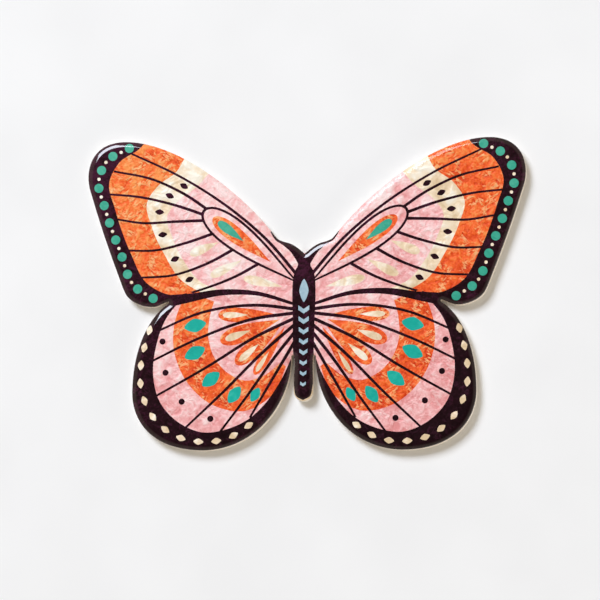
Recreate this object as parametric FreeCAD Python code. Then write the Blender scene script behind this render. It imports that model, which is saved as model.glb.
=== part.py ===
import FreeCAD, Part
import math
import os

# Butterfly wall plaque, in millimetres. A board cut to a butterfly outline carries a bonded shell face
# whose clear coat rounds off at the edge. It lies on its back with the printed face up. The body runs
# along Y with the head towards +Y, and the origin is at the middle of the outline's box, on the back.

# Thicknesses
BOARD_THICKNESS = 4.5
SHELL_FACE_THICKNESS = 1.5
COAT_DOME_WIDTH = 3.0
COAT_DOME_DEPTH = 1.2
COAT_DOME_STEPS = 5
BOARD_BACK_CHAMFER = 0.5

# Places along the body are measured up or down from the notch between forewing and hindwing.
WING_SPAN = 200.0
WING_NOTCH_OUT = 62.4
WING_NOTCH_RADIUS = 0.5
WING_NOTCH_ENTRY_ANGLE = 160.0
WING_NOTCH_EXIT_ANGLE = 326.0

# Head and antennae, which run into the leading edges of the forewings
HEAD_NOTCH_RISE = 22.2
HEAD_NOTCH_RADIUS = 1.0
ANTENNA_ANGLE = 43.0
ANTENNA_REACH = 13.2
ANTENNA_RISE = 7.4
ANTENNA_START_FULLNESS = 0.72
ANTENNA_END_FULLNESS = 0.34

# Forewing
LEADING_EDGE_ANGLE = 52.0
LEADING_EDGE_FULLNESS = 0.30
FOREWING_TOP_RISE = 74.1
FOREWING_TOP_INSET = 16.5
FOREWING_WIDEST_BELOW_TOP = 16.0
FOREWING_TIP_START_FULLNESS = 0.49
FOREWING_TIP_END_FULLNESS = 0.38
OUTER_EDGE_INSET = 3.0
OUTER_EDGE_BELOW_WIDEST = 12.7
OUTER_EDGE_ANGLE = -107.5
HEEL_SHOULDER_REACH = 20.1
HEEL_SHOULDER_RISE = 5.4
HEEL_SHOULDER_ANGLE = -112.0
HEEL_LOWEST_REACH = 7.2
HEEL_DROP = 1.8

# Hindwing
HINDWING_REACH = 15.8
HINDWING_WIDEST_DROP = 40.6
HINDWING_DROP = 67.1
HINDWING_LOWEST_OUT = 45.5
HINDWING_CORNER_FULLNESS = 0.42
HINDWING_INNER_FULLNESS = 0.39

# Tail, and the gap on each side of it
TAIL_WIDTH = 8.5
TAIL_DROP = 44.9
TAIL_GAP_WIDTH = 1.3
TAIL_GAP_TOP_DROP = 24.2

# Keyhole hanger slot, cut in the back of the board behind the thorax
KEYHOLE_ENTRY_DIAMETER = 9.0
KEYHOLE_SLOT_WIDTH = 4.5
KEYHOLE_LIP = 1.4
KEYHOLE_COVER = 0.9
KEYHOLE_TRAVEL = 9.0
KEYHOLE_SEAT_BELOW_HEAD_NOTCH = 8.0

# Share of a run's length that its tangents reach along it, where it bends evenly
EVEN_FULLNESS = 1.0 / 3.0

# How near the cutter's arcs keep to the drawn curve
ARC_TOLERANCE = 0.1

# Headings and turns, in degrees
OUTWARD = 0.0
UPWARD = 90.0
INWARD = 180.0
DOWNWARD = -90.0
QUARTER_TURN = 90.0
HALF_TURN = 180.0


class Node:
    """A place on the outline of one side, with the heading of the outline there in degrees."""

    def __init__(self, out, rise, heading):
        self.position = FreeCAD.Vector(out, rise, 0)
        self.heading = heading

    def ahead(self, distance):
        """Return the point that lies this distance along the heading."""
        angle = math.radians(self.heading)
        step = FreeCAD.Vector(math.cos(angle), math.sin(angle), 0)
        return self.position + step * distance


def run(start, end, start_fullness=EVEN_FULLNESS, end_fullness=EVEN_FULLNESS):
    """Return tangent arcs along the cubic that leaves and meets two nodes along their headings."""
    length = start.position.distanceToPoint(end.position)
    curve = Part.BezierCurve()
    curve.setPoles([
        start.position,
        start.ahead(length * start_fullness),
        end.ahead(-length * end_fullness),
        end.position,
    ])
    return [arc.toShape() for arc in curve.toBSpline().toBiArcs(ARC_TOLERANCE)]


def on_turn(centre, radius, heading, side):
    """Return the node on a circle where the outline has a heading; side is 1 left, -1 right."""
    node = Node(centre.x, centre.y, heading - QUARTER_TURN * side)
    return Node(*node.ahead(radius)[:2], heading)


def turn(centre, radius, start_heading, end_heading, side):
    """Return an arc about a centre from one heading to another."""
    middle_heading = (start_heading + end_heading) / 2
    headings = (start_heading, middle_heading, end_heading)
    points = [on_turn(centre, radius, heading, side).position for heading in headings]
    return Part.Arc(*points).toShape()


def head_edges(leading_edge_root):
    """Return the rounded notch between the antennae and one antenna's upper edge."""
    centre = FreeCAD.Vector(0, HEAD_NOTCH_RISE + HEAD_NOTCH_RADIUS, 0)
    antenna_start = on_turn(centre, HEAD_NOTCH_RADIUS, ANTENNA_ANGLE, 1)
    return [
        turn(centre, HEAD_NOTCH_RADIUS, OUTWARD, ANTENNA_ANGLE, 1),
        *run(antenna_start, leading_edge_root, ANTENNA_START_FULLNESS, ANTENNA_END_FULLNESS),
    ]


def forewing_edges(leading_edge_root, notch_entry):
    """Return the edges from the antenna round the forewing's tip and heel to the wing notch."""
    widest_out = WING_SPAN / 2
    widest_rise = FOREWING_TOP_RISE - FOREWING_WIDEST_BELOW_TOP
    top = Node(widest_out - FOREWING_TOP_INSET, FOREWING_TOP_RISE, OUTWARD)
    widest = Node(widest_out, widest_rise, DOWNWARD)
    outer_edge_rise = widest_rise - OUTER_EDGE_BELOW_WIDEST
    outer_edge = Node(widest_out - OUTER_EDGE_INSET, outer_edge_rise, OUTER_EDGE_ANGLE)
    shoulder = Node(WING_NOTCH_OUT + HEEL_SHOULDER_REACH, HEEL_SHOULDER_RISE, HEEL_SHOULDER_ANGLE)
    heel = Node(WING_NOTCH_OUT + HEEL_LOWEST_REACH, -HEEL_DROP, INWARD)
    return [
        *run(leading_edge_root, top, LEADING_EDGE_FULLNESS, LEADING_EDGE_FULLNESS),
        *run(top, widest, FOREWING_TIP_START_FULLNESS, FOREWING_TIP_END_FULLNESS),
        *run(widest, outer_edge),
        *run(outer_edge, shoulder),
        *run(shoulder, heel),
        *run(heel, notch_entry),
    ]


def hindwing_edges(notch_exit, gap_mouth):
    """Return the edges from the wing notch round the hindwing to the gap beside the tail."""
    widest = Node(WING_NOTCH_OUT + HINDWING_REACH, -HINDWING_WIDEST_DROP, DOWNWARD)
    lowest = Node(HINDWING_LOWEST_OUT, -HINDWING_DROP, INWARD)
    return [
        *run(notch_exit, widest),
        *run(widest, lowest, HINDWING_CORNER_FULLNESS, HINDWING_CORNER_FULLNESS),
        *run(lowest, gap_mouth, HINDWING_INNER_FULLNESS, HINDWING_INNER_FULLNESS),
    ]


def tail_edges(gap_centre, gap_radius):
    """Return the closed top of the gap, the tail's straight side and half of its round end."""
    tail_radius = TAIL_WIDTH / 2
    end_centre = FreeCAD.Vector(0, tail_radius - TAIL_DROP, 0)
    side_top = on_turn(gap_centre, gap_radius, UPWARD + HALF_TURN, 1).position
    side_end = on_turn(end_centre, tail_radius, DOWNWARD, -1).position
    return [
        turn(gap_centre, gap_radius, UPWARD, UPWARD + HALF_TURN, 1),
        Part.LineSegment(side_top, side_end).toShape(),
        turn(end_centre, tail_radius, DOWNWARD, DOWNWARD - QUARTER_TURN, -1),
    ]


def half_outline():
    """Return the edges of the right-hand side, from the head round to the end of the tail."""
    notch_centre = FreeCAD.Vector(WING_NOTCH_OUT, 0, 0)
    notch_entry = on_turn(notch_centre, WING_NOTCH_RADIUS, WING_NOTCH_ENTRY_ANGLE, 1)
    notch_exit = on_turn(notch_centre, WING_NOTCH_RADIUS, WING_NOTCH_EXIT_ANGLE, 1)
    leading_edge_root = Node(ANTENNA_REACH, HEAD_NOTCH_RISE + ANTENNA_RISE, LEADING_EDGE_ANGLE)
    gap_radius = TAIL_GAP_WIDTH / 2
    gap_centre = FreeCAD.Vector(TAIL_WIDTH / 2 + gap_radius, -TAIL_GAP_TOP_DROP - gap_radius, 0)
    gap_mouth = on_turn(gap_centre, gap_radius, UPWARD, 1)
    notch = turn(notch_centre, WING_NOTCH_RADIUS, WING_NOTCH_ENTRY_ANGLE, WING_NOTCH_EXIT_ANGLE, 1)
    return [
        *head_edges(leading_edge_root),
        *forewing_edges(leading_edge_root, notch_entry),
        notch,
        *hindwing_edges(notch_exit, gap_mouth),
        *tail_edges(gap_centre, gap_radius),
    ]


def middle_of_outline():
    """Return how far up the body the outline moves to have its box centred on the origin."""
    return (HINDWING_DROP - FOREWING_TOP_RISE) / 2


def moved_in(edge, inset):
    """Return an edge of the right-hand side, moved square to itself into the plate."""
    first, last = edge.ParameterRange
    points = []
    for parameter in (first, (first + last) / 2, last):
        along = edge.tangentAt(parameter)
        points.append(edge.valueAt(parameter) + FreeCAD.Vector(along.y, -along.x, 0) * inset)
    if isinstance(edge.Curve, Part.Circle):
        return Part.Arc(*points).toShape()
    return Part.LineSegment(points[0], points[-1]).toShape()


def outline_wire(inset, height):
    """Return the butterfly's outline, moved in from the edge, at a height above the back."""
    right = [moved_in(edge, inset) for edge in half_outline()]
    left = [edge.mirror(FreeCAD.Vector(), FreeCAD.Vector(1, 0, 0)) for edge in reversed(right)]
    wire = Part.Wire(right + left)
    wire.translate(FreeCAD.Vector(0, middle_of_outline(), height))
    return wire


def plate(levels):
    """Return a butterfly plate whose edge runs straight between levels of inset and height."""
    wires = [outline_wire(inset, height) for inset, height in levels]
    return Part.makeLoft(wires, True, True)


def slot(width, length, bottom, depth):
    """Return a round-ended slot that runs up the body from the origin."""
    radius = width / 2
    ends = [Part.makeCylinder(radius, depth, FreeCAD.Vector(0, place, bottom)) for place in (0, length)]
    straight = Part.makeBox(width, length, depth, FreeCAD.Vector(-radius, 0, bottom))
    return straight.fuse(ends).removeSplitter()


def keyhole():
    """Return the hanger's cut: the round entry, the slot through the lip and the undercut."""
    undercut_depth = BOARD_THICKNESS - KEYHOLE_LIP - KEYHOLE_COVER
    entry = Part.makeCylinder(KEYHOLE_ENTRY_DIAMETER / 2, KEYHOLE_LIP)
    narrow = slot(KEYHOLE_SLOT_WIDTH, KEYHOLE_TRAVEL, 0, KEYHOLE_LIP)
    undercut = slot(KEYHOLE_ENTRY_DIAMETER, KEYHOLE_TRAVEL, KEYHOLE_LIP, undercut_depth)
    cut = entry.fuse([narrow, undercut])
    seat = HEAD_NOTCH_RISE - KEYHOLE_SEAT_BELOW_HEAD_NOTCH + middle_of_outline()
    cut.translate(FreeCAD.Vector(0, seat - KEYHOLE_TRAVEL, 0))
    return cut


def backing_board():
    """Return the board, with its back edge chamfered and the keyhole cut."""
    levels = [
        (BOARD_BACK_CHAMFER, 0),
        (0, BOARD_BACK_CHAMFER),
        (0, BOARD_THICKNESS),
    ]
    return plate(levels).cut(keyhole())


def shell_face():
    """Return the shell face, whose coat falls to the edge in an elliptical dome."""
    dome_foot = BOARD_THICKNESS + SHELL_FACE_THICKNESS - COAT_DOME_DEPTH
    levels = [(0, BOARD_THICKNESS)]
    for step in range(COAT_DOME_STEPS + 1):
        angle = math.radians(QUARTER_TURN * step / COAT_DOME_STEPS)
        inset = COAT_DOME_WIDTH * (1 - math.cos(angle))
        levels.append((inset, dome_foot + COAT_DOME_DEPTH * math.sin(angle)))
    return plate(levels)


def main():
    """Build each piece and write it to its own file."""
    os.makedirs("parts", exist_ok=True)
    pieces = {"backing_board": backing_board(), "shell_face": shell_face()}
    for name, shape in pieces.items():
        shape.exportStep("parts/" + name + ".step")
        box = shape.BoundBox
        print(name, shape.isValid(), len(shape.Solids), round(shape.Volume, 1), box)


main()
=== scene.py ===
"""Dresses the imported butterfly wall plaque: its printed shell face, its painted board and its studio.

Plans of the print are in millimetres in the plaque's own frame, with a point written as x + y * 1j.
Meshes are in metres in the same frame.
"""

import cmath
import logging
import math
from dataclasses import dataclass
from enum import Enum
from typing import Iterable, Sequence

import bpy
import numpy as np
from mathutils import Matrix, Vector
from mathutils.geometry import delaunay_2d_cdt


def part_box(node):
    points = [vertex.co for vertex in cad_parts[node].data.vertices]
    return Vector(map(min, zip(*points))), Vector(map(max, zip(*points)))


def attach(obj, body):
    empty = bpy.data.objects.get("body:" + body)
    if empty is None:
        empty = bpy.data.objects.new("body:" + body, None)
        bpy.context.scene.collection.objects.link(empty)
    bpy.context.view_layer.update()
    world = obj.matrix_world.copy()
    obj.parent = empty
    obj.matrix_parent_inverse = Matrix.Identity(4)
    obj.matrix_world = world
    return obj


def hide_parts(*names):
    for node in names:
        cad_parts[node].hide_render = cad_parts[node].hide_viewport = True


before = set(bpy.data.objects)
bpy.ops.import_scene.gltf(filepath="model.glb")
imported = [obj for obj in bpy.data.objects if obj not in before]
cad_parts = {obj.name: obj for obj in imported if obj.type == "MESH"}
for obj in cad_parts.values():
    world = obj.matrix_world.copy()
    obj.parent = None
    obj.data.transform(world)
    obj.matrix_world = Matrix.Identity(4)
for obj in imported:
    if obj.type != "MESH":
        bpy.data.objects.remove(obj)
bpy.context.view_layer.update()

log = logging.getLogger("plaque")
logging.basicConfig(level=logging.INFO, format="%(name)s: %(message)s")

MM = 0.001
DRAWING_STEP = 0.7
DRAWING_TURN = math.radians(8.0)
SHARP_TURN = math.radians(25.0)
SHORTEST_RUN = 0.001
OVAL_POINTS = 40
DROP_POINTS = 48
DROP_TAPER = 1.4
DROP_FULLNESS = 0.62
POINTS_AT_A_TIME = 2000

Shape = list[complex]
Colour = tuple[float, float, float, float]


def shade(red: int, green: int, blue: int) -> Colour:
    """Turns a colour as it is seen on screen into the linear one that a shader takes.

    Args:
        red: Red, from 0 to 255.
        green: Green, from 0 to 255.
        blue: Blue, from 0 to 255.

    Returns:
        The linear colour with full opacity.
    """
    parts = (part / 255.0 for part in (red, green, blue))
    linear = [part / 12.92 if part <= 0.04045 else ((part + 0.055) / 1.055) ** 2.4 for part in parts]
    return (linear[0], linear[1], linear[2], 1.0)


def per_metre(feature_mm: float) -> float:
    """The texture scale at which a pattern's features are about feature_mm across."""
    return 1.0 / (feature_mm * MM)


# Shader maths


class Value:
    """A socket's value, on which Python's operators add Math nodes."""

    def __init__(self, tree: "Tree", socket: bpy.types.NodeSocket) -> None:
        """Holds the socket and the tree that it is in."""
        self.tree = tree
        self.socket = socket

    def math(self, operation: str, first: "Value | float", second: "Value | float") -> "Value":
        """Adds one Math node and returns its result."""
        node = self.tree.node("ShaderNodeMath", {"operation": operation}, {0: first, 1: second})
        return Value(self.tree, node.outputs[0])

    def __add__(self, other: "Value | float") -> "Value":
        """self + other."""
        return self.math("ADD", self, other)

    __radd__ = __add__

    def __sub__(self, other: "Value | float") -> "Value":
        """self - other."""
        return self.math("SUBTRACT", self, other)

    def __rsub__(self, other: "Value | float") -> "Value":
        """other - self."""
        return self.math("SUBTRACT", other, self)

    def __mul__(self, other: "Value | float") -> "Value":
        """self * other."""
        return self.math("MULTIPLY", self, other)

    __rmul__ = __mul__

    def __gt__(self, other: float) -> "Value":
        """1 where self is over other, and else 0."""
        return self.math("GREATER_THAN", self, other)

    def __lt__(self, other: float) -> "Value":
        """1 where self is under other, and else 0."""
        return self.math("LESS_THAN", self, other)

    def __abs__(self) -> "Value":
        """self without its sign."""
        return self.math("ABSOLUTE", self, 0.0)

    def clamped(self) -> "Value":
        """self kept from 0 to 1."""
        return self.math("MAXIMUM", self.math("MINIMUM", self, 1.0), 0.0)


class Tree:
    """The node tree of a material or of the world."""

    def __init__(self, owner: "bpy.types.Material | bpy.types.World") -> None:
        """Empties the owner's node tree and holds it."""
        owner.use_nodes = True
        self.tree = owner.node_tree
        self.tree.nodes.clear()

    def node(self, kind: str, settings: dict | None = None, inputs: dict | None = None) -> bpy.types.Node:
        """Adds one node.

        Args:
            kind: The node's type.
            settings: Its properties by name, and a ramp's stops as (place, colour) pairs.
            inputs: Its sockets' values or links, by socket name or index.

        Returns:
            The new node.
        """
        node = self.tree.nodes.new(kind)
        for name, setting in (settings or {}).items():
            if name == "stops":
                self.set_stops(node.color_ramp, setting)
            else:
                setattr(node, name, setting)
        for name, value in (inputs or {}).items():
            if isinstance(value, Value):
                self.tree.links.new(value.socket, node.inputs[name])
            else:
                node.inputs[name].default_value = value
        return node

    @staticmethod
    def set_stops(ramp: bpy.types.ColorRamp, stops: Sequence[tuple[float, Colour]]) -> None:
        """Gives a colour ramp its stops.

        Args:
            ramp: The ramp.
            stops: Its stops, as (place, colour) pairs.
        """
        while len(ramp.elements) < len(stops):
            ramp.elements.new(1.0)
        for element, (place, colour) in zip(ramp.elements, stops):
            element.position = place
            element.color = colour

    def value(self, node: bpy.types.Node, output: "str | int" = 0) -> Value:
        """A node's output as a value for maths."""
        return Value(self, node.outputs[output])

    def places(self) -> Value:
        """The piece's own coordinates, in metres."""
        return self.value(self.node("ShaderNodeTexCoord"), "Object")

    def axes(self) -> tuple[Value, Value, Value]:
        """The piece's own coordinates one by one."""
        split = self.node("ShaderNodeSeparateXYZ", None, {0: self.places()})
        return self.value(split, "X"), self.value(split, "Y"), self.value(split, "Z")

    def drawn_out(self, heading: float, stretch: float) -> Value:
        """Draws a pattern's coordinates out.

        Args:
            heading: The heading along which they are drawn out, in degrees.
            stretch: How many times longer its features become.

        Returns:
            The piece's own coordinates with that stretch.
        """
        inputs = {"Vector": self.places(), "Rotation": (0.0, 0.0, math.radians(heading)),
                  "Scale": (stretch, 1.0, 1.0)}
        return self.value(self.node("ShaderNodeMapping", {"vector_type": "TEXTURE"}, inputs))

    def noise(self, feature_mm: float, detail: float = 2.0, roughness: float = 0.5,
              distortion: float = 0.0, places: Value | None = None) -> Value:
        """Adds a noise over the piece.

        Args:
            feature_mm: About how large its features are.
            detail: How many finer layers it has.
            roughness: How strong the finer layers are.
            distortion: How far it is swirled.
            places: The coordinates that it reads, or none for the piece's own.

        Returns:
            A value that is mostly around 0.5.
        """
        inputs = {"Vector": places or self.places(), "Scale": per_metre(feature_mm), "Detail": detail,
                  "Roughness": roughness, "Distortion": distortion}
        return self.value(self.node("ShaderNodeTexNoise", None, inputs))

    def ramp(self, factor: Value, stops: Sequence[tuple[float, Colour]]) -> Value:
        """A colour chosen along a ramp by factor."""
        return self.value(self.node("ShaderNodeValToRGB", {"stops": stops}, {0: factor}))

    def mix(self, factor: Value, first: "Value | Colour", second: "Value | Colour") -> Value:
        """A colour that is first where factor is 0 and second where it is 1."""
        settings = {"data_type": "RGBA", "clamp_factor": True}
        return self.value(self.node("ShaderNodeMix", settings, {0: factor, 6: first, 7: second}), 2)

    def bump(self, height: Value, depth_mm: float) -> Value:
        """A normal that follows a height from 0 to 1, which stands for depth_mm."""
        return self.value(self.node("ShaderNodeBump", None, {"Height": height, "Distance": depth_mm * MM}))

    def finish(self, shader: bpy.types.Node, output: str = "ShaderNodeOutputMaterial") -> None:
        """Links a shader to the tree's output."""
        self.node(output, None, {"Surface": self.value(shader)})


# Finishes


@dataclass(frozen=True)
class ShellInk:
    """Ink on crinkled pearly shell, seen through a thick clear coat, with painted highlights and painted
    shade on the shell's folds and painted light towards the upper left.
    """

    name: str
    deep: Colour
    plain: Colour
    bright: Colour
    # The fourth colour is a painted highlight, mixed in along the ridges of the shell's folds.
    painted_fold_highlight: Colour
    spread: float = 0.13
    relief: float = 0.9
    pearl: float = 0.06
    grain: float = 0.12
    # How much of the painted fold highlight is mixed in.
    painted_highlight_share: float = 1.0
    folded: float = 0.2
    # How strongly the ink is painted lighter towards the upper left, as painted light from the key light's
    # side.
    painted_upper_left_light: float = 0.9
    haze: float = 0.2
    roughness: float = 0.44
    cloud_size: float = 9.0
    crease_size: float = 3.6
    patch_size: float = 6.5
    speck_size: float = 0.9
    fold_size: float = 1.7
    fold_stretch: float = 2.6
    fold_sharpness: float = 6.0
    fold_headings: tuple[float, float] = (38.0, -34.0)
    # How far each fold is painted lighter on one side and darker on the other, as painted highlight and
    # painted shade.
    fold_painted_light_and_shade: float = 0.04
    patch_level: float = 0.46
    patch_sharpness: float = 8.0
    turn_sharpness: float = 12.0
    cloud_share: float = 0.45
    crease_height: float = 0.8
    coat: float = 0.27
    coat_roughness: float = 0.03
    coat_bend: float = 1.58

    def folds(self, tree: Tree, heading: float) -> Value:
        """Adds fine folds of the shell.

        Args:
            tree: The material's tree.
            heading: The heading that they run along, in degrees.

        Returns:
            Their level, from -1 in their hollows to 1 on their ridges.
        """
        level = tree.noise(self.fold_size, 1.5, 0.5, 0.5, tree.drawn_out(heading, self.fold_stretch))
        side = (level - 0.5) * self.fold_sharpness
        return side * (1.0 - abs(side)).clamped() * 4.0

    def material(self) -> bpy.types.Material:
        """Builds the ink's material.

        Returns:
            A material whose ink is mottled, with painted highlights and painted shade on the shell's folds
            and painted light towards the upper left, whose shell is creased and whose coat is smooth.
        """
        material = bpy.data.materials.new(self.name)
        tree = Tree(material)
        clouds = tree.noise(self.cloud_size, 2.0, 0.5, 0.5)
        creases = tree.noise(self.crease_size, 2.0, 0.5, 0.9)
        specks = tree.noise(self.speck_size, 2.0, 0.6, 0.4)
        patches = ((tree.noise(self.patch_size, 1.0) - self.patch_level) * self.patch_sharpness).clamped()
        turned = ((clouds - 0.5) * self.turn_sharpness + 0.5).clamped()
        one, other = (self.folds(tree, heading) for heading in self.fold_headings)
        folds = (one * turned + other * (1.0 - turned)) * patches
        across, up, _ = tree.axes()
        broad = clouds * self.cloud_share + creases * (1 - self.cloud_share)
        tone = broad * (1 - self.grain) + specks * self.grain
        # Painted light: the tone rises towards the upper left, and each fold is painted lighter on one side
        # and darker on the other.
        tone = tone + (up - across * 0.5) * self.painted_upper_left_light + folds * self.fold_painted_light_and_shade
        height = specks * self.grain + creases * self.crease_height + folds * self.folded
        stops = [(0.5 - self.spread, self.deep), (0.5, self.plain), (0.5 + self.spread, self.bright)]
        settings = {
            # Painted highlight: the fold ridges are mixed towards each ink's pale highlight colour.
            "Base Color": tree.mix(folds.clamped() * self.painted_highlight_share, tree.ramp(tone, stops), self.painted_fold_highlight),
            "Metallic": self.pearl,
            "Roughness": self.roughness,
            "Specular IOR Level": self.haze,
            "Normal": tree.bump(height, self.relief),
            "Coat Weight": self.coat,
            "Coat Roughness": self.coat_roughness,
            "Coat IOR": self.coat_bend,
        }
        tree.finish(tree.node("ShaderNodeBsdfPrincipled", None, settings))
        return material


# Small marks get only a little painted highlight on their folds.
MARK: dict[str, float] = {"spread": 0.2, "relief": 0.15, "pearl": 0.0, "painted_highlight_share": 0.15, "coat": 0.7}


class Ink(Enum):
    """The colours of the print."""

    # The fourth colour of each ink is its painted highlight on the shell's folds. Each ink is also painted
    # lighter towards the upper left, and its folds get painted light and shade.
    CREAM = ShellInk("cream_shell", shade(228, 200, 160), shade(246, 222, 188), shade(255, 246, 228),
                     shade(255, 250, 240), spread=0.12, relief=1.1, grain=0.05, painted_highlight_share=0.15, folded=0.02,
                     fold_painted_light_and_shade=0.01, crease_size=6.0, coat=0.2)
    PINK = ShellInk("pink_shell", shade(232, 148, 146), shade(252, 192, 190), shade(255, 226, 222),
                    shade(255, 240, 234), grain=0.2, painted_highlight_share=0.3, folded=0.04, fold_painted_light_and_shade=0.02,
                    crease_size=4.0, coat=0.2)
    ORANGE = ShellInk("orange_shell", shade(216, 56, 6), shade(251, 102, 36), shade(255, 155, 80),
                      shade(255, 196, 136), spread=0.15, grain=0.24, painted_highlight_share=0.75, folded=0.1, painted_upper_left_light=0.75,
                      fold_painted_light_and_shade=0.08, crease_size=2.6, patch_size=5.5, fold_size=1.3)
    JADE = ShellInk("jade_shell", shade(40, 156, 132), shade(56, 170, 142), shade(84, 186, 158),
                    shade(100, 196, 170), **MARK)
    TEAL = ShellInk("teal_shell", shade(0, 164, 150), shade(8, 179, 161), shade(48, 192, 172),
                    shade(84, 200, 180), **MARK)
    BLUE = ShellInk("blue_shell", shade(146, 178, 196), shade(168, 197, 210), shade(190, 214, 224),
                    shade(200, 220, 230), **MARK)
    PLUM = ShellInk("plum_shell", shade(24, 6, 10), shade(38, 14, 21), shade(66, 24, 46),
                    shade(84, 40, 62), spread=0.15, relief=0.3, pearl=0.02, grain=0.45, painted_highlight_share=0.2,
                    haze=0.02, coat=1.0)


@dataclass(frozen=True)
class BoardPaint:
    """Satin cream paint on fibreboard, with the routed hanger slot left bare."""

    name: str = "cream_board"
    deep: Colour = shade(231, 220, 205)
    plain: Colour = shade(238, 228, 214)
    bright: Colour = shade(243, 235, 224)
    bare_deep: Colour = shade(122, 88, 58)
    bare_bright: Colour = shade(168, 130, 92)
    slot_half_width: float = 8.0
    slot_top: float = 20.0
    slot_bottom: float = -8.0
    paint_skin: float = 0.15
    cloud_size: float = 14.0
    fibre_size: float = 0.7
    fibre_share: float = 0.3
    fibre_depth: float = 0.04

    def material(self) -> bpy.types.Material:
        """Builds the board's material.

        Returns:
            A material that is painted outside and bare inside the hanger slot.
        """
        material = bpy.data.materials.new(self.name)
        tree = Tree(material)
        across, up, out = tree.axes()
        in_slot = (abs(across) < self.slot_half_width * MM) * (up < self.slot_top * MM)
        in_slot = in_slot * (up > self.slot_bottom * MM) * (out > self.paint_skin * MM)
        clouds = tree.noise(self.cloud_size, 3.0, 0.6)
        fibres = tree.noise(self.fibre_size, 4.0, 0.7, 0.5)
        painted = tree.ramp(clouds * (1 - self.fibre_share) + fibres * self.fibre_share,
                            [(0.38, self.deep), (0.5, self.plain), (0.62, self.bright)])
        bare = tree.ramp(fibres, [(0.35, self.bare_deep), (0.65, self.bare_bright)])
        settings = {
            "Base Color": tree.mix(in_slot, painted, bare),
            "Roughness": 0.42 + 0.14 * clouds + 0.35 * in_slot,
            "Normal": tree.bump(fibres, self.fibre_depth),
        }
        tree.finish(tree.node("ShaderNodeBsdfPrincipled", None, settings))
        return material


@dataclass(frozen=True)
class FloorPaint:
    """Matt white paint under the plaque."""

    name: str = "studio_floor"
    deep: Colour = shade(246, 246, 245)
    bright: Colour = shade(250, 250, 249)
    cloud_size: float = 60.0

    def material(self) -> bpy.types.Material:
        """Builds the floor's material.

        Returns:
            A matt material that is nearly even.
        """
        material = bpy.data.materials.new(self.name)
        tree = Tree(material)
        colour = tree.ramp(tree.noise(self.cloud_size), [(0.35, self.deep), (0.65, self.bright)])
        settings = {"Base Color": colour, "Roughness": 0.9, "Specular IOR Level": 0.1}
        tree.finish(tree.node("ShaderNodeBsdfPrincipled", None, settings))
        return material


# Drawing


def bend(before: complex, here: complex, after: complex) -> complex:
    """Finds the direction in which a line passes a point when it has no corners.

    Args:
        before: The point before it.
        here: The point.
        after: The point after it.

    Returns:
        The direction, about one long.
    """
    arriving, leaving = here - before, after - here
    near, far = abs(arriving), abs(leaving)
    return (arriving / near * far + leaving / far * near) / (near + far)


def passing(before: complex, here: complex, after: complex, own: complex) -> complex:
    """Finds the direction in which a line passes a point when its sharp corners stay.

    Args:
        before: The point before it.
        here: The point.
        after: The point after it.
        own: The direction of the run that is drawn, which a sharp corner keeps.

    Returns:
        The direction, about one long.
    """
    arriving, leaving = here - before, after - here
    too_short = min(abs(arriving), abs(leaving)) < SHORTEST_RUN
    if too_short or abs(cmath.phase(leaving / arriving)) > SHARP_TURN:
        return own / abs(own)
    return bend(before, here, after)


def smooth(points: Sequence[complex], closed: bool = False, step: float = DRAWING_STEP,
           sharp: bool = False) -> Shape:
    """Draws a smooth line through points.

    Args:
        points: The points, in order.
        closed: Whether the line comes back to its start.
        step: The longest run of the drawn line.
        sharp: Whether corners stay sharp.

    Returns:
        The drawn line's points.
    """
    count = len(points)
    line: Shape = []
    for index in range(count if closed else count - 1):
        start, end = points[index], points[(index + 1) % count]
        run = end - start
        before = points[index - 1] if closed or index else start - run
        after = points[(index + 2) % count] if closed or index + 2 < count else end + run
        leave = passing(before, start, end, run) if sharp else bend(before, start, end)
        arrive = passing(start, end, after, run) if sharp else bend(start, end, after)
        turn = abs(cmath.phase(arrive / leave))
        pieces = max(1, math.ceil(abs(run) / step), math.ceil(turn / DRAWING_TURN))
        for piece in range(pieces):
            t = piece / pieces
            line.append((1 + 2 * t) * (1 - t) ** 2 * start + t * (1 - t) ** 2 * abs(run) * leave
                        + t * t * (3 - 2 * t) * end - t * t * (1 - t) * abs(run) * arrive)
    if not closed:
        line.append(points[-1])
    return line


def stroke(path: Shape, widths: Sequence[float]) -> Shape:
    """Draws a brush stroke along a line.

    Args:
        path: The line's points.
        widths: The stroke's widths, spread evenly from its start to its end.

    Returns:
        The stroke's outline.
    """
    last = len(path) - 1
    stops = np.linspace(0.0, last, len(widths))
    left: Shape = []
    right: Shape = []
    for index, point in enumerate(path):
        along = path[min(index + 1, last)] - path[max(index - 1, 0)]
        side = 1j * along / abs(along) * float(np.interp(index, stops, widths)) / 2
        left.append(point + side)
        right.append(point - side)
    return right + left[::-1]


def spot(centre: complex, length: float, width: float, turn: float = 0.0, pointed: float = 1.0) -> Shape:
    """Draws an oval, or a lozenge when it is pointed.

    Args:
        centre: Its middle.
        length: Its length.
        width: Its width.
        turn: The heading of its length, in degrees.
        pointed: 1 for an oval, towards 2 for a lozenge.

    Returns:
        Its outline.
    """
    heading = cmath.rect(1.0, math.radians(turn))
    outline = []
    for angle in np.linspace(0.0, 2 * math.pi, OVAL_POINTS, endpoint=False):
        across, up = math.cos(angle), math.sin(angle)
        x = math.copysign(abs(across) ** pointed, across) * length / 2
        y = math.copysign(abs(up) ** pointed, up) * width / 2
        outline.append(centre + heading * complex(x, y))
    return outline


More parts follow.
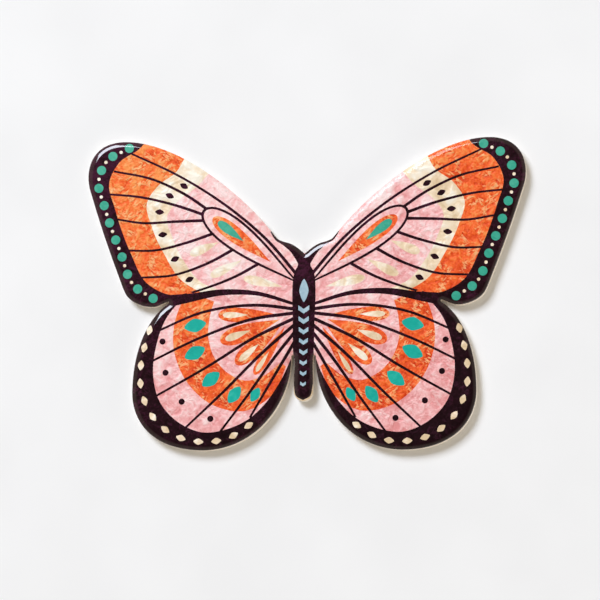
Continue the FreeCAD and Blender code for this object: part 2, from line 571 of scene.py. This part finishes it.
def drop(tip: complex, length: float, width: float, turn: float) -> Shape:
    """Draws a teardrop.

    Args:
        tip: Its point.
        length: Its length.
        width: Its width.
        turn: The heading from its point to its round end, in degrees.

    Returns:
        Its outline.
    """
    heading = cmath.rect(1.0, math.radians(turn))
    outline = []
    for angle in np.linspace(0.0, 2 * math.pi, DROP_POINTS, endpoint=False):
        swell = math.sin(angle) * math.sin(angle / 2) ** DROP_TAPER * width * DROP_FULLNESS
        outline.append(tip + heading * complex((1 - math.cos(angle)) * length / 2, swell))
    return outline


def chevron(tip: complex, width: float, rise: float, thickness: float) -> Shape:
    """Draws a chevron that points down.

    Args:
        tip: Its lowest point.
        width: Its width.
        rise: How far its arms rise.
        thickness: Its height on the middle line.

    Returns:
        Its outline.
    """
    arm = complex(width / 2, rise)
    other = complex(-width / 2, rise)
    lift = complex(0.0, thickness)
    return [tip, tip + arm, tip + arm + lift, tip + lift, tip + other + lift, tip + other]


def stations(path: Shape, count: int, start: float = 0.0, end: float = 1.0) -> list[tuple[complex, float]]:
    """Spreads places evenly along a line.

    Args:
        path: The line's points.
        count: How many places.
        start: Where the first is, as a share of the line's length.
        end: Where the last is, as a share of the line's length.

    Returns:
        Each place with the line's heading there, in degrees.
    """
    points = np.array(path)
    lengths = np.concatenate(([0.0], np.cumsum(abs(np.diff(points)))))
    found = []
    for share in np.linspace(start, end, count):
        here = share * lengths[-1]
        place = complex(np.interp(here, lengths, points))
        ahead, behind = (complex(np.interp(here + gap, lengths, points)) for gap in (0.5, -0.5))
        found.append((place, math.degrees(cmath.phase(ahead - behind))))
    return found


@dataclass(frozen=True)
class Field:
    """One area of print, drawn over those before it."""

    ink: Ink
    outline: Shape

    def mirrored(self) -> "Field":
        """The same area on the other side of the body."""
        return Field(self.ink, [complex(-point.real, point.imag) for point in self.outline])


def both_sides(fields: Iterable[Field]) -> list[Field]:
    """Fields of the right-hand side, each followed by its mirror image."""
    return [side for field in fields for side in (field, field.mirrored())]


# Print


@dataclass
class ForewingPrint:
    """The right forewing: margin, orange and cream bands, a long cell and its veins."""

    margin_line: tuple[complex, ...] = (70 + 77j, 76 + 67.5j, 85.5 + 61j, 90 + 52j, 87 + 39j, 79.5 + 19j,
                                        72 + 5.5j, 64 + 0.8j, 52 - 0.8j)
    orange_line: tuple[complex, ...] = (54 + 66j, 59 + 56.5j, 67.5 + 50j, 72.5 + 42j, 70 + 31j,
                                        63.5 + 17.5j, 56.5 + 7j, 48 + 1.5j, 43 - 1j)
    cream_line: tuple[complex, ...] = (43 + 57j, 49.5 + 49.5j, 58 + 43j, 63 + 36j, 60.5 + 26j,
                                       54.5 + 14.5j, 47.5 + 6j, 39 + 2j, 34 - 1j)
    beyond_tip: tuple[complex, ...] = (40 - 14j, 115 - 14j, 115 + 90j, 30 + 90j)
    vein_widths: tuple[float, ...] = (1.5, 1.2, 0.9)
    veins: tuple[tuple[complex, ...], ...] = (
        (1 + 6j, 18 + 25.5j, 38 + 42j, 58 + 54.5j, 80 + 65j),
        (38 + 34j, 56 + 46.5j, 70 + 53j, 88 + 57j),
        (42 + 35j, 61 + 41.5j, 76 + 45j, 91 + 46.5j),
        (42 + 34j, 60 + 33.5j, 74 + 33j, 87 + 35j),
        (36 + 30j, 55 + 23.5j, 68 + 20.5j, 82 + 20.5j),
        (28 + 23j, 46 + 13.5j, 60 + 9j, 75 + 8j),
        (17 + 16j, 33 + 7.4j, 46 + 2.6j, 57 - 0.6j),
    )
    cell_tip: complex = 1.5 + 4j
    cell_heading: float = 37.5
    # Ink, start along the cell, length and width
    cell_drops: tuple[tuple[Ink, float, float, float], ...] = (
        (Ink.PLUM, 0.0, 57.0, 15.5), (Ink.PINK, 3.9, 51.8, 12.9), (Ink.ORANGE, 17.0, 34.0, 8.4),
        (Ink.JADE, 33.0, 15.0, 4.6))
    # Tip, length and heading
    root_drops: tuple[tuple[complex, float, float], ...] = (
        (9.5 + 3.2j, 18.5, 13.0), (28.5 + 15.6j, 16.0, -27.0), (39 + 24j, 14.5, -23.0))
    root_drop_width: float = 4.8
    margin_row: tuple[complex, ...] = (81 + 67.5j, 91.5 + 61.5j, 95 + 52j, 92 + 40.5j, 84.5 + 20j,
                                       77.5 + 4j, 69 - 1.5j)
    margin_dots: int = 11
    margin_dot: float = 4.2
    margin_bead: float = 1.5
    # Middle and heading
    band_gems: tuple[tuple[complex, float], ...] = (
        (55.5 + 49.8j, 30.0), (62 + 45.4j, 24.0), (66.6 + 38j, 4.0), (65 + 27.6j, -8.0),
        (59.2 + 16.4j, -22.0), (52.4 + 7j, -24.0))
    band_gem_length: float = 4.2
    band_gem_width: float = 2.6
    band_gem_point: float = 1.4

    def beyond(self, ink: Ink, line: Sequence[complex]) -> Field:
        """The part of the wing outside a line across it."""
        return Field(ink, smooth(line) + list(self.beyond_tip))

    def cell(self) -> list[Field]:
        """Draws the long closed cell at the wing's root, with a drop in it.

        Returns:
            Its areas, of which each lies inside the one before.
        """
        heading = cmath.rect(1.0, math.radians(self.cell_heading))
        return [Field(ink, drop(self.cell_tip + heading * start, length, width, self.cell_heading))
                for ink, start, length, width in self.cell_drops]

    def beads(self) -> list[Field]:
        """Draws the dots along the margin and the small lozenges along the cream band.

        Returns:
            Their areas.
        """
        row = smooth(self.margin_row)
        half_gap = 0.5 / (self.margin_dots - 1)
        dots = [Field(Ink.JADE, spot(place, self.margin_dot, self.margin_dot))
                for place, _ in stations(row, self.margin_dots)]
        between = [Field(Ink.CREAM, spot(place, self.margin_bead, self.margin_bead))
                   for place, _ in stations(row, self.margin_dots - 1, half_gap, 1 - half_gap)]
        band = [Field(Ink.PLUM, spot(place, self.band_gem_length, self.band_gem_width, turn,
                                     self.band_gem_point))
                for place, turn in self.band_gems]
        return dots + between + band

    def fields(self) -> list[Field]:
        """Draws the whole wing.

        Returns:
            Its areas, from the lowest to the topmost.
        """
        bands = [self.beyond(Ink.CREAM, self.cream_line), self.beyond(Ink.ORANGE, self.orange_line)]
        veins = [Field(Ink.PLUM, stroke(smooth(vein), self.vein_widths)) for vein in self.veins]
        drops = [Field(Ink.CREAM, drop(tip, length, self.root_drop_width, turn))
                 for tip, length, turn in self.root_drops]
        margin = [self.beyond(Ink.PLUM, self.margin_line)]
        return bands + drops + veins + self.cell() + margin + self.beads()


@dataclass
class HindwingPrint:
    """The right hindwing: an orange arc with lozenges on pink, veins and a beaded margin."""

    upper_line: tuple[complex, ...] = (62.2 - 4j, 52 - 2j, 38 + 0.9j, 22 + 0.4j, 3 - 5.4j)
    below: tuple[complex, ...] = (3 - 85j, 95 - 85j, 95 - 14j, 70 - 8.5j)
    margin_line: tuple[complex, ...] = (57 - 3j, 63 - 11j, 67.2 - 23j, 68.4 - 37j, 65 - 49j, 56.5 - 58j,
                                        45.5 - 62.5j, 34 - 61j, 24.5 - 56.5j, 17 - 49.5j, 11.5 - 41.5j,
                                        8 - 35j, 5.8 - 29.5j)
    beyond_margin: tuple[complex, ...] = (4.6 - 34j, 4.6 - 85j, 95 - 85j, 95 - 14j, 70 - 8.5j, 62 - 4j)
    arc_line: tuple[complex, ...] = (47 - 0.8j, 50 - 8.5j, 51.5 - 20j, 47.5 - 33j, 38.5 - 42.5j, 27 - 46j,
                                     16.5 - 41.5j, 9 - 32j)
    arc_widths: tuple[float, ...] = (13.0, 15.5, 16.5, 16.5, 16.0, 14.0, 9.5, 3.0)
    vein_widths: tuple[float, ...] = (1.6, 1.3, 1.0)
    veins: tuple[tuple[complex, ...], ...] = (
        (3 - 7j, 22 - 5j, 46 - 8j, 68 - 17j),
        (3 - 8.5j, 24 - 11.5j, 48 - 20j, 71 - 31j),
        (3 - 10.5j, 22 - 19.5j, 44 - 33j, 68 - 46.5j),
        (3 - 13j, 18 - 26j, 36 - 44j, 54 - 61j),
        (3 - 16j, 14 - 30j, 26 - 47j, 38 - 63j),
        (3 - 20j, 9.5 - 31j, 16.5 - 43j, 24 - 56j),
    )
    root: complex = 5 - 9.5j
    # End, width and heading
    root_drops: tuple[tuple[float, float, float], ...] = (
        (34.0, 7.4, 0.3), (35.0, 9.0, -19.8), (34.0, 8.4, -40.6), (32.0, 5.6, -57.4))
    root_drop_start: float = 6.0
    drop_heart_share: float = 0.42
    drop_heart_margin: float = 0.28
    # Middle, heading and share of the full size
    lozenges: tuple[tuple[complex, float, float], ...] = (
        (49.5 - 14j, -12.0, 1.0), (49.5 - 26.5j, -26.0, 1.0), (42 - 38.5j, -38.0, 0.96),
        (31.2 - 45.6j, -54.0, 0.88), (21.7 - 45.6j, -60.0, 0.7))
    lozenge_length: float = 10.2
    lozenge_width: float = 6.2
    lozenge_point: float = 1.35
    outer_beads: tuple[complex, ...] = (64.4 - 21.2j, 62.8 - 35.4j, 55.2 - 48.6j, 42 - 56.4j)
    outer_bead: float = 2.8
    margin_row: tuple[complex, ...] = (70.5 - 16j, 73.8 - 29j, 74 - 42j, 69 - 54.5j, 59 - 63.5j, 46 - 66.8j,
                                       33.5 - 65j, 24.5 - 59.5j)
    margin_gems: int = 12
    gem_length: float = 4.6
    gem_width: float = 2.9
    gem_point: float = 1.5
    hem_line: tuple[complex, ...] = (65 - 3.2j, 52 - 1.4j, 38 + 0.9j, 22 + 0.4j, 3 - 5j)
    hem_widths: tuple[float, ...] = (6.0, 3.6, 2.6, 1.8, 1.3)

    def wing(self) -> Field:
        """The wing's own pink, over the forewing's hem."""
        return Field(Ink.PINK, smooth(self.upper_line) + list(self.below))

    def motifs(self) -> list[Field]:
        """Draws the orange arc with its lozenges, the drops at the root and the outer beads.

        Returns:
            Their areas, from the lowest to the topmost.
        """
        arc = [Field(Ink.ORANGE, stroke(smooth(self.arc_line), self.arc_widths))]
        drops = []
        for end, width, heading in self.root_drops:
            away = cmath.rect(1.0, math.radians(heading))
            length = end - self.root_drop_start
            inner = length * self.drop_heart_share
            tip = self.root + away * self.root_drop_start
            drops.append(Field(Ink.ORANGE, drop(tip, length, width, heading)))
            heart = self.root + away * (end - inner - width * self.drop_heart_margin)
            drops.append(Field(Ink.CREAM, drop(heart, inner, width * self.drop_heart_share, heading)))
        gems = [Field(Ink.TEAL, spot(place, self.lozenge_length * share, self.lozenge_width * share, turn,
                                     self.lozenge_point))
                for place, turn, share in self.lozenges]
        beads = [Field(Ink.PLUM, spot(place, self.outer_bead, self.outer_bead))
                 for place in self.outer_beads]
        return arc + drops + gems + beads

    def margin(self) -> list[Field]:
        """Draws the dark margin with its row of small lozenges.

        Returns:
            Their areas, with the margin first.
        """
        row = stations(smooth(self.margin_row), self.margin_gems)
        gems = [Field(Ink.CREAM, spot(place, self.gem_length, self.gem_width, turn, self.gem_point))
                for place, turn in row]
        return [Field(Ink.PLUM, smooth(self.margin_line) + list(self.beyond_margin))] + gems

    def fields(self) -> list[Field]:
        """Draws the whole wing.

        Returns:
            Its areas, from the lowest to the topmost.
        """
        veins = [Field(Ink.PLUM, stroke(smooth(vein), self.vein_widths)) for vein in self.veins]
        hem = [Field(Ink.PLUM, stroke(smooth(self.hem_line), self.hem_widths))]
        return [self.wing()] + self.motifs() + veins + self.margin() + hem


@dataclass
class BodyPrint:
    """The body between the wings, with its antennae and its pale marks."""

    half_body: tuple[complex, ...] = (0 + 18.4j, 2 + 17.4j, 2.8 + 15.2j, 2.9 + 13j, 4.3 + 10.2j, 5.1 + 5.5j,
                                      5.3 - 1j, 5 - 10j, 4.9 - 18j, 4.7 - 26j, 4.5 - 34j, 4.2 - 42j,
                                      3.1 - 46.4j, 0 - 48.1j)
    antenna_line: tuple[complex, ...] = (0.6 + 14.5j, 4.2 + 20j, 8.6 + 23.4j, 13 + 25.8j, 15.5 + 28.6j)
    antenna_widths: tuple[float, ...] = (4.5, 4.6, 3.6, 2.6, 0.5)
    thorax_centre: complex = 0 + 1.5j
    thorax_length: float = 10.5
    thorax_width: float = 4.2
    thorax_point: float = 1.45
    bars: int = 8
    first_bar: float = -9.0
    last_bar: float = -42.0
    first_bar_width: float = 5.0
    last_bar_width: float = 2.6
    bar_rise: float = 0.34
    bar_thickness: float = 2.1
    bar_thinning: float = 0.35

    def body(self) -> Field:
        """Draws the dark body.

        Returns:
            Its area.
        """
        right = smooth(self.half_body)
        left = [complex(-point.real, point.imag) for point in right[1:-1]]
        return Field(Ink.PLUM, right[::-1] + left)

    def tail_ground(self) -> Field:
        """Bare shell round the tail's end, where the dark print stops short of the edge."""
        return Field(Ink.CREAM, [-4.9 - 85j, 4.9 - 85j, 4.9 - 30.5j, -4.9 - 30.5j])

    def marks(self) -> list[Field]:
        """Draws the lozenge on the thorax and the bars down the abdomen.

        Returns:
            Their areas.
        """
        marks = [Field(Ink.BLUE, spot(self.thorax_centre, self.thorax_length, self.thorax_width, 90.0,
                                      self.thorax_point))]
        for index in range(self.bars):
            share = index / (self.bars - 1)
            height = self.first_bar + (self.last_bar - self.first_bar) * share
            width = self.first_bar_width + (self.last_bar_width - self.first_bar_width) * share
            thickness = self.bar_thickness * (1 - self.bar_thinning * share)
            marks.append(Field(Ink.BLUE, chevron(complex(0.0, height), width, width * self.bar_rise,
                                                 thickness)))
        return marks

    def fields(self) -> list[Field]:
        """Draws the whole body.

        Returns:
            Its areas, from the lowest to the topmost.
        """
        antennae = both_sides([Field(Ink.PLUM, stroke(smooth(self.antenna_line), self.antenna_widths))])
        return [self.tail_ground()] + antennae + [self.body()] + self.marks()


# Pieces


def deselect_all() -> None:
    """Leaves nothing selected."""
    if bpy.context.object and bpy.context.object.mode != "OBJECT":
        bpy.ops.object.mode_set(mode="OBJECT")
    bpy.ops.object.select_all(action="DESELECT")


def take(piece: bpy.types.Object) -> None:
    """Makes a piece the only selected and active one."""
    deselect_all()
    piece.select_set(True)
    bpy.context.view_layer.objects.active = piece


@dataclass
class ShellFace:
    """The printed shell under its clear coat, whose edge is domed."""

    node: str = "shell_face"
    slot: str = "coated_shell"
    dome_width: float = 3.0
    dome_depth: float = 1.2
    dome_steps: int = 10
    bead_lean: float = 0.62
    lip_lean: float = 1.6
    lip_width: float = 0.12
    outline_step: float = 0.6
    closest: float = 0.22
    last_inset: float = 1.13
    kept_inset: float = 0.985
    smooth_angle: float = 50.0
    slack: float = 0.01
    print_slack: float = 1e-4

    def outline(self) -> Shape:
        """Reads the plaque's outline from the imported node.

        Returns:
            The outline in mm, drawn smoothly, anticlockwise.
        """
        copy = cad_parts[self.node].copy()
        copy.data = copy.data.copy()
        bpy.context.scene.collection.objects.link(copy)
        take(copy)
        bpy.ops.object.mode_set(mode="EDIT")
        bpy.ops.mesh.select_all(action="SELECT")
        bpy.ops.mesh.remove_doubles(threshold=self.slack * MM)
        bpy.ops.mesh.select_all(action="DESELECT")
        bpy.ops.object.mode_set(mode="OBJECT")
        for polygon in copy.data.polygons:
            polygon.select = polygon.normal.z < -0.9
        bpy.ops.object.mode_set(mode="EDIT")
        bpy.ops.mesh.select_mode(type="FACE")
        bpy.ops.mesh.region_to_loop()
        bpy.ops.object.mode_set(mode="OBJECT")
        mesh = copy.data
        links: dict[int, list[int]] = {}
        for edge in mesh.edges:
            if edge.select:
                first, second = edge.vertices
                links.setdefault(first, []).append(second)
                links.setdefault(second, []).append(first)
        start = next(iter(links))
        loop = [start, links[start][0]]
        while loop[-1] != start:
            ahead = [vertex for vertex in links[loop[-1]] if vertex != loop[-2]]
            loop.append(ahead[0])
        points = [complex(*mesh.vertices[vertex].co.xy) / MM for vertex in loop[:-1]]
        bpy.data.objects.remove(copy)
        bpy.data.meshes.remove(mesh)
        if twice_area(points) < 0:
            points.reverse()
        return smooth(points, closed=True, step=self.outline_step, sharp=True)

    def insets(self) -> list[float]:
        """Spaces the dome's rings.

        Returns:
            How far in from the edge each lies, in mm. The last one lies on the flat top.
        """
        turns = [math.pi / 2 * step / self.dome_steps for step in range(1, self.dome_steps + 1)]
        shares = [1 - math.cos(turn) for turn in turns] + [self.last_inset]
        return [self.dome_width * share for share in shares]

    def ring(self, outline: Shape, rim: "Rim", inset: float) -> list[Shape]:
        """Lays one ring of points inside the outline.

        Args:
            outline: The outline.
            rim: Measures how far points are from the outline.
            inset: How far in the ring lies.

        Returns:
            The ring's runs, broken where it meets itself.
        """
        points = np.array(outline)
        along = np.roll(points, -1) - np.roll(points, 1)
        inner = points + 1j * along / abs(along) * inset
        kept = rim.distance(inner) > inset * self.kept_inset - 0.002
        runs: list[Shape] = [[]]
        for point, keep in zip(inner, kept):
            if not keep:
                runs.append([])
            elif not runs[-1] or abs(point - runs[-1][-1]) > self.closest:
                runs[-1].append(complex(point))
        return [run for run in runs if len(run) > 1]

    def height(self, inset: np.ndarray) -> np.ndarray:
        """The coat's height over its rim at each distance from the edge, in mm."""
        share = np.clip(1 - inset / self.dome_width, 0.0, 1.0)
        return self.dome_depth * np.sqrt(1 - share * share)

    def plan(self, outline: Shape, rim: "Rim", fields: Sequence[Field]) -> tuple:
        """Lays out what the face is triangulated from.

        Args:
            outline: The plaque's outline.
            rim: Measures how far points are from it.
            fields: The print's areas, from the lowest to the topmost.

        Returns:
            The points, the dome's rings as edges, and the outline and then the areas as faces.
        """
        points: Shape = []
        edges: list[tuple[int, int]] = []
        faces: list[list[int]] = []
        for shape in [outline] + [field.outline for field in fields]:
            ordered = shape if twice_area(shape) > 0 else shape[::-1]
            faces.append(list(range(len(points), len(points) + len(ordered))))
            points += ordered
        for inset in self.insets():
            for run in self.ring(outline, rim, inset):
                edges += [(len(points) + index, len(points) + index + 1) for index in range(len(run) - 1)]
                points += run
        return [Vector((point.real, point.imag)) for point in points], edges, faces

    def build(self, fields: Sequence[Field]) -> bpy.types.Object:
        """Builds the face with its print.

        Args:
            fields: The print's areas, from the lowest to the topmost.

        Returns:
            The face, as one closed piece.
        """
        low, high = (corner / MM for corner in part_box(self.node))
        outline = self.outline()
        rim = Rim(np.array(outline))
        spots, _, triangles, _, _, sources = delaunay_2d_cdt(
            *self.plan(outline, rim, fields), 0, self.print_slack, True)
        flat = np.array([complex(*place) for place in spots])
        heights = self.height(rim.distance(flat)) + high.z - self.dome_depth
        inks = list(Ink)
        kept = [(triangle, max(source)) for triangle, source in zip(triangles, sources) if 0 in source]
        colours = [inks.index(fields[top - 1].ink if top else Ink.PINK) for _, top in kept]
        used = sorted({vertex for triangle, _ in kept for vertex in triangle})
        renumber = {vertex: index for index, vertex in enumerate(used)}
        mesh = bpy.data.meshes.new(self.node)
        mesh.from_pydata([(flat[v].real * MM, flat[v].imag * MM, heights[v] * MM) for v in used], [],
                         [[renumber[vertex] for vertex in triangle] for triangle, _ in kept])
        for ink in inks:
            mesh.materials.append(ink.value.material())
        mesh.polygons.foreach_set("material_index", colours)
        piece = bpy.data.objects.new("printed_shell", mesh)
        bpy.context.scene.collection.objects.link(piece)
        self.close(piece, low.z)
        self.round_off(piece, rim)
        log.info("%s: %d triangles, %d fields of print", piece.name, len(mesh.polygons), len(fields))
        return piece

    def close(self, piece: bpy.types.Object, foot: float) -> None:
        """Gives the printed sheet its wall and its flat back.

        Args:
            piece: The sheet.
            foot: The height of the back, in mm.
        """
        take(piece)
        rim_height = min(vertex.co.z for vertex in piece.data.vertices)
        bpy.ops.object.mode_set(mode="EDIT")
        bpy.ops.mesh.select_all(action="DESELECT")
        bpy.ops.mesh.select_mode(type="EDGE")
        bpy.ops.mesh.select_non_manifold()
        bpy.ops.mesh.extrude_region_move(TRANSFORM_OT_translate={"value": (0, 0, foot * MM - rim_height)})
        bpy.ops.mesh.edge_face_add()
        bpy.ops.mesh.select_all(action="SELECT")
        bpy.ops.mesh.normals_make_consistent(inside=False)
        bpy.ops.object.mode_set(mode="OBJECT")
        bare = list(Ink).index(Ink.CREAM)
        for polygon in piece.data.polygons:
            if polygon.center.z < rim_height - self.slack * MM:
                polygon.material_index = bare
        bpy.ops.object.shade_smooth_by_angle(angle=math.radians(self.smooth_angle))

    def round_off(self, piece: bpy.types.Object, rim: "Rim") -> None:
        """Gives the coat the normals of a full bead along the edge, so that its highlights run smoothly.

        Args:
            piece: The closed face.
            rim: Measures how far points are from the outline.
        """
        mesh = piece.data
        places = np.array([vertex.co for vertex in mesh.vertices]) / MM
        flat = places[:, 0] + 1j * places[:, 1]
        inward = rim.inward(flat)
        inset = rim.distance(flat)
        lean = self.bead_lean * np.clip(1 - inset / self.dome_width, 0.0, 1.0)
        lean = lean + self.lip_lean * np.exp(-inset / self.lip_width)
        normals = np.stack([-inward.real * lean, -inward.imag * lean, np.ones(len(lean))], axis=1)
        normals /= np.linalg.norm(normals, axis=1, keepdims=True)
        normals[places[:, 2] < places[:, 2].max() - self.dome_depth - self.slack] = 0.0
        mesh.normals_split_custom_set_from_vertices(normals.tolist())

    def dress(self, piece: bpy.types.Object) -> None:
        """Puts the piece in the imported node's place."""
        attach(piece, "root")
        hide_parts(self.node)


def twice_area(shape: Shape) -> float:
    """Twice the area inside a shape, which is under 0 where it runs clockwise."""
    return sum((a.conjugate() * b).imag for a, b in zip(shape, shape[1:] + shape[:1]))


class Rim:
    """Measures how far points are from the plaque's outline."""

    def __init__(self, outline: np.ndarray) -> None:
        """Holds the outline's runs and the inward heading at both ends of each.

        Args:
            outline: The outline's points, anticlockwise.
        """
        self.start = outline
        self.run = np.roll(outline, -1) - outline
        own = 1j * self.run / abs(self.run)
        mean = own + np.roll(own, 1)
        self.sharp = abs(np.angle(own / np.roll(own, 1))) > SHARP_TURN
        self.leaving = np.where(self.sharp, own, mean / abs(mean))
        self.arriving = np.where(np.roll(self.sharp, -1), own, np.roll(mean / abs(mean), -1))

    def nearest(self, points: np.ndarray) -> tuple[np.ndarray, np.ndarray, np.ndarray]:
        """Finds the place on the outline that is nearest to each point.

        Args:
            points: The points.

        Returns:
            The way from the nearest place to each point, the run that it is on and its share of the run.
        """
        ways, runs, shares = [], [], []
        for first in range(0, len(points), POINTS_AT_A_TIME):
            block = points[first:first + POINTS_AT_A_TIME, None] - self.start[None, :]
            share = np.clip((block * self.run.conj()).real / abs(self.run) ** 2, 0, 1)
            away = block - share * self.run
            found = abs(away).argmin(axis=1)
            rows = np.arange(len(found))
            ways.append(away[rows, found])
            runs.append(found)
            shares.append(share[rows, found])
        return np.concatenate(ways), np.concatenate(runs), np.concatenate(shares)

    def distance(self, points: np.ndarray) -> np.ndarray:
        """The distance of each point from the outline, in mm."""
        return abs(self.nearest(points)[0])

    def inward(self, points: np.ndarray) -> np.ndarray:
        """Finds the headings that lead away from the outline.

        Args:
            points: The points.

        Returns:
            The heading at each point, as a number one long.
        """
        ways, runs, shares = self.nearest(points)
        heading = self.leaving[runs] * (1 - shares) + self.arriving[runs] * shares
        next_sharp = np.roll(self.sharp, -1)
        cornered = ((shares == 0) & self.sharp[runs]) | ((shares == 1) & next_sharp[runs])
        heading = np.where(cornered & (abs(ways) > 1e-3), ways, heading)
        return heading / abs(heading)


@dataclass
class BackingBoard:
    """The board behind the shell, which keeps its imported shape."""

    node: str = "backing_board"

    def dress(self) -> None:
        """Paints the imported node."""
        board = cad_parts[self.node]
        board.data.materials.clear()
        board.data.materials.append(BoardPaint().material())
        log.info("%s: painted", self.node)


@dataclass(frozen=True)
class Panel:
    """A soft panel of light that faces the plaque. Its heading is taken from the right wing."""

    name: str
    heading: float
    elevation: float
    distance: float
    width: float
    height: float
    power: float
    colour: tuple[float, float, float]

    def hang(self) -> None:
        """Adds the panel."""
        rise, turn = math.radians(self.elevation), math.radians(self.heading)
        away = Vector((math.cos(rise) * math.cos(turn), math.cos(rise) * math.sin(turn), math.sin(rise)))
        bpy.ops.object.light_add(type="AREA", location=away * self.distance)
        panel = bpy.context.object
        panel.name = self.name
        panel.rotation_euler = away.to_track_quat("Z", "Y").to_euler()
        panel.data.shape = "RECTANGLE"
        panel.data.size = self.width
        panel.data.size_y = self.height
        panel.data.energy = self.power
        panel.data.color = self.colour


@dataclass
class Studio:
    """The floor, the light and the camera."""

    floor_size: float = 24.0
    panels: tuple[Panel, ...] = (
        Panel("key_light", 126.0, 50.0, 5.0, 1.9, 2.3, 222.0, (0.87, 0.93, 1.04)),
        Panel("bounce_light", -45.0, 12.0, 2.5, 4.0, 0.95, 22.0, (1.0, 0.97, 0.92)),
    )
    horizon: Colour = (0.60, 0.545, 0.455, 1.0)
    midway: Colour = (0.42, 0.37, 0.30, 1.0)
    overhead: Colour = (0.035, 0.03, 0.028, 1.0)
    midway_height: float = 0.78
    overhead_height: float = 0.90
    lens: float = 266.0
    frame_width: float = 270.3
    sensor: float = 36.0
    centre: tuple[float, float, float] = (-1.75, -2.82, 6.0)
    lean_right: float = 8.5
    lean_down: float = 7.5
    roll: float = 0.6

    def lay_floor(self) -> None:
        """Adds the floor that the plaque lies on."""
        bpy.ops.mesh.primitive_plane_add(size=self.floor_size)
        floor = bpy.context.object
        floor.name = "floor"
        floor.data.materials.append(FloorPaint().material())

    def light(self) -> None:
        """Adds a soft key, a low bounce for the rim and an even fill with dark space overhead."""
        for panel in self.panels:
            panel.hang()
        world = bpy.data.worlds.new("studio")
        bpy.context.scene.world = world
        tree = Tree(world)
        direction = tree.value(tree.node("ShaderNodeTexCoord"), "Generated")
        up = tree.value(tree.node("ShaderNodeSeparateXYZ", None, {0: direction}), "Z")
        colour = tree.ramp(up, [(0.0, self.horizon), (self.midway_height, self.midway),
                                (self.overhead_height, self.overhead)])
        tree.finish(tree.node("ShaderNodeBackground", None, {"Color": colour}), "ShaderNodeOutputWorld")

    def aim_camera(self) -> None:
        """Adds the camera over the plaque, a little to the right and below."""
        target = Vector(self.centre) * MM
        lean_right, lean_down, roll = map(math.radians, (self.lean_right, self.lean_down, self.roll))
        back = Vector((math.tan(lean_right), -math.tan(lean_down), 1.0)).normalized()
        body_line = Vector((-math.sin(roll), math.cos(roll), 0.0))
        right = body_line.cross(back).normalized()
        distance = self.lens * self.frame_width * MM / self.sensor
        bpy.ops.object.camera_add(location=target + back * distance)
        camera = bpy.context.object
        camera.name = "camera"
        camera.data.lens = self.lens
        camera.data.sensor_width = self.sensor
        camera.rotation_euler = Matrix((right, back.cross(right), back)).transposed().to_euler()
        bpy.context.scene.camera = camera

    def build(self) -> None:
        """Sets the whole studio up."""
        self.lay_floor()
        self.light()
        self.aim_camera()
        bpy.context.scene.view_settings.view_transform = "Standard"


def main() -> None:
    """Builds the plaque's looks and its studio."""
    deselect_all()
    wings = both_sides(ForewingPrint().fields() + HindwingPrint().fields())
    face = ShellFace()
    face.dress(face.build(wings + BodyPrint().fields()))
    BackingBoard().dress()
    Studio().build()


if __name__ == "__main__":
    main()
